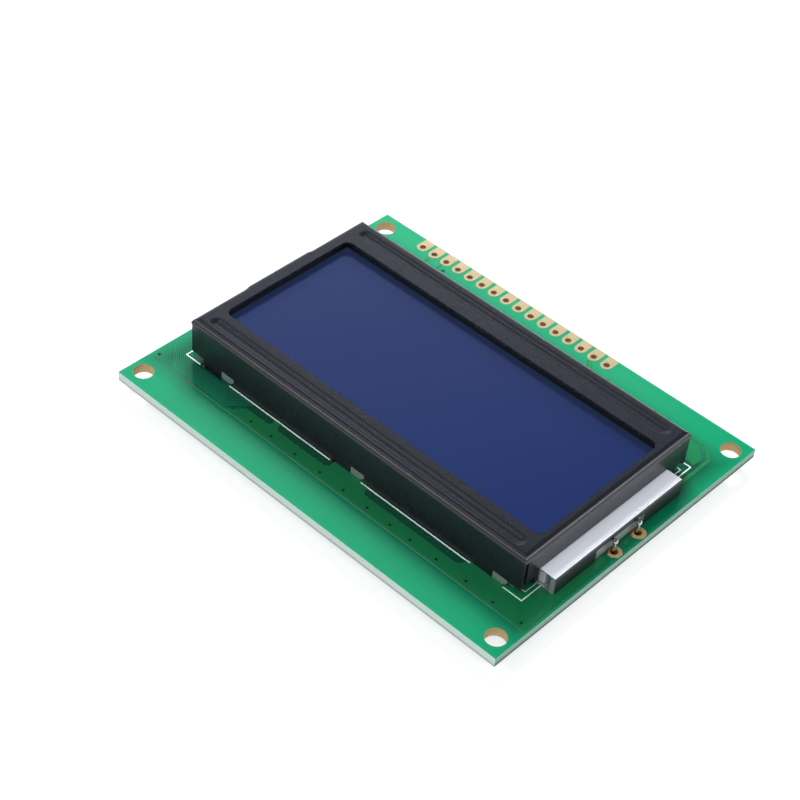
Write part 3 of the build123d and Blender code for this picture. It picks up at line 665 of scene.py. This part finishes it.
tin, tree, shader = finish_named("matt_tin_ends", roughness=0.4, metallic=0.9)
feed(shader, "Base Color", blend(tree, grain(tree, 0.2), "b9bbbd", "cfd1d3"))
uneven(tree, shader, grain(tree, 0.15), 0.01, 0.5)
dress(tin, "resistor_terminals", "capacitor_terminals")

# %% [markdown]
# ## Parts under the board
#
# The chips are hidden under poured drops of black epoxy, which cure half matt with broad, shallow waves.
# Chip resistors have a black glaze on white ceramic, and chip capacitors are bare tan ceramic. The glaze
# is on the side away from the board, so it is found by its height.

# %% Epoxy drops and chip parts
epoxy, tree, shader = finish_named("poured_black_epoxy", ior=1.5)
feed(shader, "Base Color", blend(tree, grain(tree, 2.0), "0f0f10", "171718"))
feed(shader, "Roughness", band(tree, grain(tree, 1.0), 0.3, 0.7, (0.38, 0.55)))
uneven(tree, shader, grain(tree, 1.6, 1.0), 0.06, 0.35)
dress(epoxy, "controller_glob", "driver_globs")

chip_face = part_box("chip_resistors")[0][2]
GLAZE_EDGE = (0.06, 0.1)
glaze, tree, shader = finish_named("glazed_resistor_body", roughness=0.3)
past_glaze = band(tree, place_along(tree)["Z"], *(chip_face + depth * MM for depth in GLAZE_EDGE))
glazed = blend(tree, grain(tree, 0.3), "111113", "1b1b1e")
feed(shader, "Base Color", blend(tree, past_glaze, glazed, "dcdad4"))
dress(glaze, "chip_resistors")

ceramic, tree, shader = finish_named("tan_capacitor_ceramic", roughness=0.5)
feed(shader, "Base Color", blend(tree, grain(tree, 0.25), "9c7a52", "b08c60"))
dress(ceramic, "chip_capacitors")

# %% [markdown]
# ## Thin things on the board
#
# Printed lines and copper tracks are a few hundredths of a millimetre high, but they catch the light at
# their edges, so they are modelled rather than painted. Each starts as flat faces, a little below the
# board's surface. They are raised through it, and their tops are inset and raised once more, which leaves
# sloping sides. Then the mesh becomes a piece that rides on the part.

# %% Lift and piece helpers
SINK = 0.012
PROUD = 0.001


def lift(work, faces, height, slope, upward=1):
    """Raise faces off the board with sloping sides, and close them underneath. Return the raised faces."""
    grown = bmesh.ops.extrude_face_region(work, geom=faces, use_keep_orig=True)["geom"]
    moved = [part for part in grown if isinstance(part, bmesh.types.BMVert)]
    tops = [part for part in grown if isinstance(part, bmesh.types.BMFace)]
    bmesh.ops.translate(work, verts=moved, vec=(0, 0, upward * (SINK + PROUD) * MM))
    bmesh.ops.recalc_face_normals(work, faces=work.faces[:])
    bmesh.ops.inset_region(work, faces=tops, thickness=slope * MM, depth=height * MM, use_even_offset=True)
    return tops


def piece(name, work, materials):
    """Turn a bmesh into an object that rides on the part, and say how big it is."""
    mesh = bpy.data.meshes.new(name)
    work.to_mesh(mesh)
    work.free()
    made = bpy.data.objects.new(name, mesh)
    bpy.context.scene.collection.objects.link(made)
    for material in materials:
        mesh.materials.append(material)
    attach(made, "root")
    print(name, "has", len(mesh.polygons), "faces")
    return made


TOP = board_high[2] / MM - SINK
BOTTOM = board_low[2] / MM + SINK
print("faces start at", round(TOP, 3), "and", round(BOTTOM, 3), "mm")

# %% [markdown]
# ## Copper under the mask, top face
#
# A broad ground area follows the front and right edges. It stops short of the two rows of vias that serve
# the glass, so those stand in plain green. At the back right corner there is a second area, and a small
# patch lies between the two backlight pads.

# %% Copper areas on top
COPPER_HEIGHT = 0.035
COPPER_SLOPE = 0.07
GROUND_OUTLINE = [
    (-21.2, -22.45), (36.62, -22.45), (36.62, -4.9), (36.1, -4.4), (31.0, -4.4), (31.0, -16.5),
    (23.0, -16.5), (23.0, -19.2), (22.3, -19.9), (5.2, -19.9), (4.6, -19.3), (4.6, -16.5),
    (-2.4, -16.5), (-2.4, -19.4), (-2.9, -19.9), (-12.2, -19.9), (-12.8, -19.3), (-12.8, -16.5),
    (-14.0, -16.5), (-14.0, -19.4), (-14.5, -19.95), (-18.75, -20.0)]
CORNER_OUTLINE = [(12.6, 22.95), (31.15, 22.95), (33.15, 20.9), (33.0, 18.9), (32.3, 19.15), (12.6, 19.15)]
PATCH_OUTLINE = [(35.35, -0.45), (36.35, -0.45), (36.35, 0.6), (35.35, 0.6)]


def flat_area(work, outline, level):
    """One flat face inside a closed outline, in millimetres."""
    corners = [work.verts.new(Vector((x, y, level)) * MM) for x, y in outline]
    edges = [work.edges.new(pair) for pair in zip(corners, corners[1:] + corners[:1])]
    return bmesh.ops.contextual_create(work, geom=edges)["faces"]


work = bmesh.new()
faces = [face for outline in (GROUND_OUTLINE, CORNER_OUTLINE, PATCH_OUTLINE)
         for face in flat_area(work, outline, TOP)]
lift(work, faces, COPPER_HEIGHT, COPPER_SLOPE)
piece("masked_copper_areas", work, [mask_copper])

# %% [markdown]
# A track is a ribbon: an edge as wide as the track is extruded from corner to corner of its path. At a
# corner the edge lies on the line that halves the angle, so the width stays the same. Extruding gives new
# corners with no left or right of their own, so the nearer one to the old left is taken as the new left.

# %% Ribbon helper
def ribbon(work, path, width, level):
    """Extrude an edge of one width along a path, and return its faces. Sizes are in millimetres."""
    corners = [Vector((x, y, level)) * MM for x, y in path]
    runs = [(end - start).normalized() for start, end in zip(corners, corners[1:])]
    faces = []
    for number, corner in enumerate(corners):
        before = runs[max(number - 1, 0)]
        after = runs[min(number, len(runs) - 1)]
        across = Vector((-before.y - after.y, before.x + after.x, 0)).normalized()
        across *= width / 2 * MM / across.dot(Vector((-before.y, before.x, 0)))
        if number == 0:
            left, right = work.verts.new(corner + across), work.verts.new(corner - across)
            edge = work.edges.new((left, right))
            continue
        grown = bmesh.ops.extrude_edge_only(work, edges=[edge])["geom"]
        fresh = [part for part in grown if isinstance(part, bmesh.types.BMVert)]
        left, right = sorted(fresh, key=lambda vert: (vert.co - left.co).length)
        left.co, right.co = corner + across, corner - across
        edge = next(part for part in grown
                    if isinstance(part, bmesh.types.BMEdge) and set(part.verts) == {left, right})
        faces += [part for part in grown if isinstance(part, bmesh.types.BMFace)]
    return faces


print("ribbons ready")

# %% [markdown]
# Ten fine tracks run side by side along the left edge, turn in two half corners and pass under the bezel
# beside the first vias. They are 0.3 mm apart, so each one is its neighbour's path moved over, and each
# corner shifts by the pitch times the tangent of half its angle to keep the gaps even.

# %% Fine tracks on top
FINE_COUNT = 10
FINE_PITCH = 0.297
FINE_WIDTH = 0.15
FINE_HEIGHT = 0.028
FINE_SLOPE = 0.035
HALF_CORNER = math.tan(math.radians(22.5))
DIAGONAL = math.sin(math.radians(45))
OUTER_X, OUTER_Y = -36.2, -21.8
START_X, START_Y = -32.0, 15.5
TURN_X, LEAVE_X = -32.6, -21.6
LAST_RUN = 4.4

work = bmesh.new()
faces = []
for number in range(FINE_COUNT):
    step = number * FINE_PITCH
    x, y = OUTER_X + step, OUTER_Y + step
    turn_x = TURN_X + step * HALF_CORNER
    leave_x = LEAVE_X - step * HALF_CORNER * 2
    start_y = START_Y - step / DIAGONAL
    path = [(START_X, start_y), (x, start_y - (START_X - x)), (x, y + turn_x - x), (turn_x, y),
            (leave_x, y), (leave_x + LAST_RUN, y + LAST_RUN)]
    faces += ribbon(work, path, FINE_WIDTH, TOP)
lift(work, faces, FINE_HEIGHT, FINE_SLOPE)
piece("fine_masked_tracks", work, [mask_fine])

# %% [markdown]
# Four tracks are wider. One turns the back right corner in two bends on its way to the lamp pads, one leads
# on from the ground area to the left corner, and two go from the header row under the bezel.

# %% Wide tracks on top
LAMP_TRACK = [(8.21, 25.4), (9.96, 23.65), (31.75, 23.65), (33.93, 21.47), (33.93, 4.3), (35.3, 2.93)]
EDGE_TRACK = [(-36.4, -22.35), (-21.3, -22.35)]
HEADER_TRACK_X = (-24.81, -22.27)
LAMP_WIDTH, EDGE_WIDTH, HEADER_WIDTH = 0.62, 0.2, 0.34
work = bmesh.new()
faces = ribbon(work, LAMP_TRACK, LAMP_WIDTH, TOP) + ribbon(work, EDGE_TRACK, EDGE_WIDTH, TOP)
for x in HEADER_TRACK_X:
    faces += ribbon(work, [(x, 25.5), (x, 17.0)], HEADER_WIDTH, TOP)
lift(work, faces, COPPER_HEIGHT, COPPER_SLOPE)
piece("wide_masked_tracks", work, [mask_copper])

# %% [markdown]
# ## Vias
#
# A via is a plated hole from face to face. Here the mask runs over it, so it shows as a low ring with a
# dark dimple. The ring is a round face lifted like a track. Its top is then inset once more and pressed in,
# and what is left in the middle gets the dark green.

# %% Via helpers
VIA_HEIGHT = 0.055
VIA_SLOPE = 0.06
VIA_SIDES = 10
DIMPLE_SLOPE, DIMPLE_DEPTH = 0.02, 0.015


def dots(work, centres, radius, level):
    """A flat round face at each centre, in millimetres."""
    faces = []
    for x, y in centres:
        place = Matrix.Translation(Vector((x, y, level)) * MM)
        made = bmesh.ops.create_circle(work, cap_ends=True, radius=radius * MM, segments=VIA_SIDES,
                                       matrix=place)
        faces += list({face for vert in made["verts"] for face in vert.link_faces})
    return faces


def add_vias(work, centres, radius, hole, level, upward):
    """Raise a ring at each centre and press a dark dimple into it."""
    tops = lift(work, dots(work, centres, radius, level), VIA_HEIGHT, VIA_SLOPE, upward)
    rim = radius - VIA_SLOPE - hole
    bmesh.ops.inset_individual(work, faces=tops, thickness=rim * MM, use_even_offset=True)
    bmesh.ops.inset_individual(work, faces=tops, thickness=DIMPLE_SLOPE * MM, depth=-DIMPLE_DEPTH * MM,
                               use_even_offset=True)
    for face in tops:
        face.material_index = 1


print("a ring stands", VIA_HEIGHT + PROUD, "mm proud")

# %% [markdown]
# The ground area has a line of larger vias. The tracks of the glass come up in two rows of smaller ones, in
# groups of four, eight or nine. A group is written as its first place and its number of vias.

# %% Vias on both faces
GROUND_VIAS = [(-36.09, -21.49), (-20.21, -21.45), (-16.36, -21.4), (-12.16, -21.4), (-7.28, -21.4),
               (-2.33, -21.35), (2.4, -21.43), (7.02, -21.41), (11.43, -21.42), (15.24, -21.47),
               (20.11, -21.42), (25.53, -21.38), (30.51, -21.54), (35.46, -21.46), (-21.14, 24.6)]
SMALL_ROWS = {-19.07: [(-18.99, 4), (-11.73, 8), (5.58, 4), (11.56, 9)],
              -17.82: [(-18.45, 4), (-12.28, 8), (5.01, 4), (12.27, 9)]}
ROW_PITCH = 1.2
small_vias = [(start + ROW_PITCH * number, y) for y, groups in SMALL_ROWS.items()
              for start, count in groups for number in range(count)]
LARGE_RING, LARGE_HOLE = 0.32, 0.23
SMALL_RING, SMALL_HOLE = 0.25, 0.17

for name, level, upward in (("vias_on_top", TOP, 1), ("vias_underneath", BOTTOM, -1)):
    work = bmesh.new()
    add_vias(work, GROUND_VIAS, LARGE_RING, LARGE_HOLE, level, upward)
    add_vias(work, small_vias, SMALL_RING, SMALL_HOLE, level, upward)
    piece(name, work, [mask_copper, plug_dark])

# %% [markdown]
# ## Printed outline
#
# White ink marks where the bezel and the lamp channel go. The outer line breaks off at each tab, where the
# slots are. Screen ink is about 0.03 mm thick with rounded shoulders. It is drawn 0.055 mm thick here, so
# that its edge shows.

# %% White printed lines
ink, tree, shader = finish_named("white_screen_ink", roughness=0.55)
thin_places = band(tree, grain(tree, 0.25, 4.0), 0.35, 0.75)
feed(shader, "Base Color", blend(tree, thin_places, "e9f2ee", "bcd6ca"))
uneven(tree, shader, grain(tree, 0.15), 0.01, 0.4)

INK_WIDTH, THIN_INK_WIDTH = 0.2, 0.13
INK_HEIGHT = 0.055
INK_SLOPE = 0.03
LEFT, RIGHT, FRONT, BACK = -33.3, 32.93, -18.55, 18.46
LONG_RUNS = [(-24.0, -3.15), (2.99, 23.75)]
LEFT_LINE = [(-30.3, FRONT), (LEFT, FRONT), (LEFT, BACK), (-30.3, BACK)]
RIGHT_LINE = [(29.6, FRONT), (RIGHT, FRONT), (RIGHT, BACK), (31.18, BACK)]
CHANNEL_MARK = [(31.6, 17.0), (32.25, 17.0), (32.25, 12.0)]

work = bmesh.new()
faces = ribbon(work, LEFT_LINE, INK_WIDTH, TOP) + ribbon(work, RIGHT_LINE, INK_WIDTH, TOP)
for y in (FRONT, BACK):
    for start, end in LONG_RUNS:
        faces += ribbon(work, [(start, y), (end, y)], INK_WIDTH, TOP)
for side in (-1, 1):
    faces += ribbon(work, [(x, side * y) for x, y in CHANNEL_MARK], THIN_INK_WIDTH, TOP)
lift(work, faces, INK_HEIGHT, INK_SLOPE)
piece("printed_outline", work, [ink])

# %% [markdown]
# ## Tracks underneath
#
# The photograph doesn't show the underside. On modules of this kind the header pads lead straight to the
# controller's drop, and bundles run from it to the two drivers. The same ribbons draw them, lifted
# downwards. The header's tracks start at the pads' pitch and close up to a narrower one at the drop. The
# first hole lies 0.96 mm inside the left end of the row of pads.

# %% Header tracks underneath
PAD_COUNT = 16
PAD_PITCH = 2.54
FIRST_PAD = 0.96
FAN_PITCH = 0.62
BEND_PITCH = 0.42
FAN_LEAN = 0.18
PAD_Y, BEND_Y, DROP_Y = 25.6, 20.8, 13.2
FAN_WIDTH = 0.2
MIDDLE = (PAD_COUNT - 1) / 2
first_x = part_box("header_pads")[0][0] / MM + FIRST_PAD

work = bmesh.new()
faces = []
for number in range(PAD_COUNT):
    x = first_x + PAD_PITCH * number
    target = (number - MIDDLE) * FAN_PITCH
    bend_y = BEND_Y - abs(number - MIDDLE) * BEND_PITCH
    path = [(x, PAD_Y), (x, bend_y), (target, bend_y - abs(target - x) * FAN_LEAN), (target, DROP_Y)]
    faces += ribbon(work, path, FAN_WIDTH, BOTTOM)
lift(work, faces, FINE_HEIGHT, FINE_SLOPE, -1)
piece("header_tracks_underneath", work, [mask_copper])

# %% [markdown]
# Each driver's bundle leaves the controller's drop sideways and turns to the driver in two half corners, so
# its gaps are kept even as on the top face.

# %% Driver tracks underneath
BUNDLE_COUNT = 8
BUNDLE_PITCH = 0.42
BUNDLE_WIDTH = 0.18
EXIT_X, EXIT_Y = 5.4, 9.6
CORNER_X, DOWN_X, DOWN_Y = 15.6, 20.2, 5.0
DRIVER_Y = -0.4

work = bmesh.new()
faces = []
for side in (-1, 1):
    for number in range(BUNDLE_COUNT):
        step = number * BUNDLE_PITCH
        corner = step * HALF_CORNER
        path = [(EXIT_X, EXIT_Y - step), (CORNER_X - corner, EXIT_Y - step),
                (DOWN_X - step, DOWN_Y - corner), (DOWN_X - step, DRIVER_Y)]
        faces += ribbon(work, [(side * x, y) for x, y in path], BUNDLE_WIDTH, BOTTOM)
lift(work, faces, FINE_HEIGHT, FINE_SLOPE, -1)
piece("driver_tracks_underneath", work, [mask_copper])

# %% [markdown]
# ## Connector heels
#
# Beside each tab the bezel's wall is notched, and the soft white connector strip bulges into the notch
# until it is level with the wall. Each heel is a small block, with its far lower corner cut at a slant.

# %% Heels in the notches
HEEL_STARTS = (-26.05, 0.65, 27.35)
HEEL_OUTLINE = [(0, 0), (1.9, 0), (2.55, 0.55), (2.55, 1.36), (0, 1.36)]
HEEL_FRONT = -FOOT_SIDE + 0.06
HEEL_FOOT = board_high[2] / MM + 0.002
HEEL_DEPTH = 0.7
HEEL_BEVEL = 0.08

work = bmesh.new()
for start in HEEL_STARTS:
    made = [work.verts.new(Vector((start + x, HEEL_FRONT, HEEL_FOOT + z)) * MM) for x, z in HEEL_OUTLINE]
    edges = [work.edges.new(pair) for pair in zip(made, made[1:] + made[:1])]
    face = bmesh.ops.contextual_create(work, geom=edges)["faces"]
    grown = bmesh.ops.extrude_face_region(work, geom=face, use_keep_orig=True)["geom"]
    back = [part for part in grown if isinstance(part, bmesh.types.BMVert)]
    bmesh.ops.translate(work, verts=back, vec=(0, HEEL_DEPTH * MM, 0))
bmesh.ops.recalc_face_normals(work, faces=work.faces[:])
bmesh.ops.bevel(work, geom=work.edges[:], offset=HEEL_BEVEL * MM, affect="EDGES", segments=2,
                profile=0.5, material=-1)
piece("connector_heels", work, [silicone])

# %% [markdown]
# ## Poured drops
#
# Epoxy flows into a smooth low dome with a thin skirt, so the stepped solids are replaced by turned ones: a
# short profile is spun round the middle of each drop. A drop stays a thousandth of a millimetre short of
# the solid's lowest point, so that rounding can't take it out of the CAD box.

# %% Drops of epoxy
PROFILE_TURNS = range(0, 90, 9)
SHOULDER = 1.4
SKIRT = 0.03
SPIN_STEPS = 48
KEEP_INSIDE = 0.001
SAME_PLACE = 1e-6


def drop(work, x, y, radius, height):
    """Spin the profile of a drop of resin that hangs under the board. Sizes are in millimetres."""
    turns = [math.radians(turn) for turn in PROFILE_TURNS]
    dome = [(radius * math.sin(turn), -height * math.cos(turn) ** SHOULDER) for turn in turns]
    outline = dome + [(radius, -SKIRT), (radius, 0)]
    profile = [work.verts.new(Vector((x + reach, y, low)) * MM) for reach, low in outline]
    edges = [work.edges.new(pair) for pair in zip(profile, profile[1:])]
    bmesh.ops.spin(work, geom=profile + edges, cent=Vector((x, y, 0)) * MM, axis=(0, 0, 1), dvec=(0, 0, 0),
                   angle=2 * math.pi, steps=SPIN_STEPS, use_merge=True, use_duplicate=False)


def smooth_drops(name, *places):
    """Replace a node of stepped drops by smooth ones of the same size, at these places along X."""
    low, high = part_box(name)
    radius = (high[1] - low[1]) / 2 / MM
    work = bmesh.new()
    for x in places:
        drop(work, x, (low[1] + high[1]) / 2 / MM, radius, -low[2] / MM - KEEP_INSIDE)
    bmesh.ops.remove_doubles(work, verts=work.verts, dist=SAME_PLACE)
    bmesh.ops.recalc_face_normals(work, faces=work.faces[:])
    for face in work.faces:
        face.smooth = True
    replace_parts(piece(name + "_smooth", work, [epoxy]), name)


smooth_drops("controller_glob", 0)
smooth_drops("driver_globs", -20, 20)

# %% [markdown]
# ## Check and finish
#
# Every finish is on its node and every piece rides on the part. Nodes left without a finish are listed.
# Nothing here may make the part bigger.

# %% Finish
bare = [name for name, one in nodes.items() if not one.data.materials or one.data.materials[0] is None]
print("nodes without a finish:", bare)
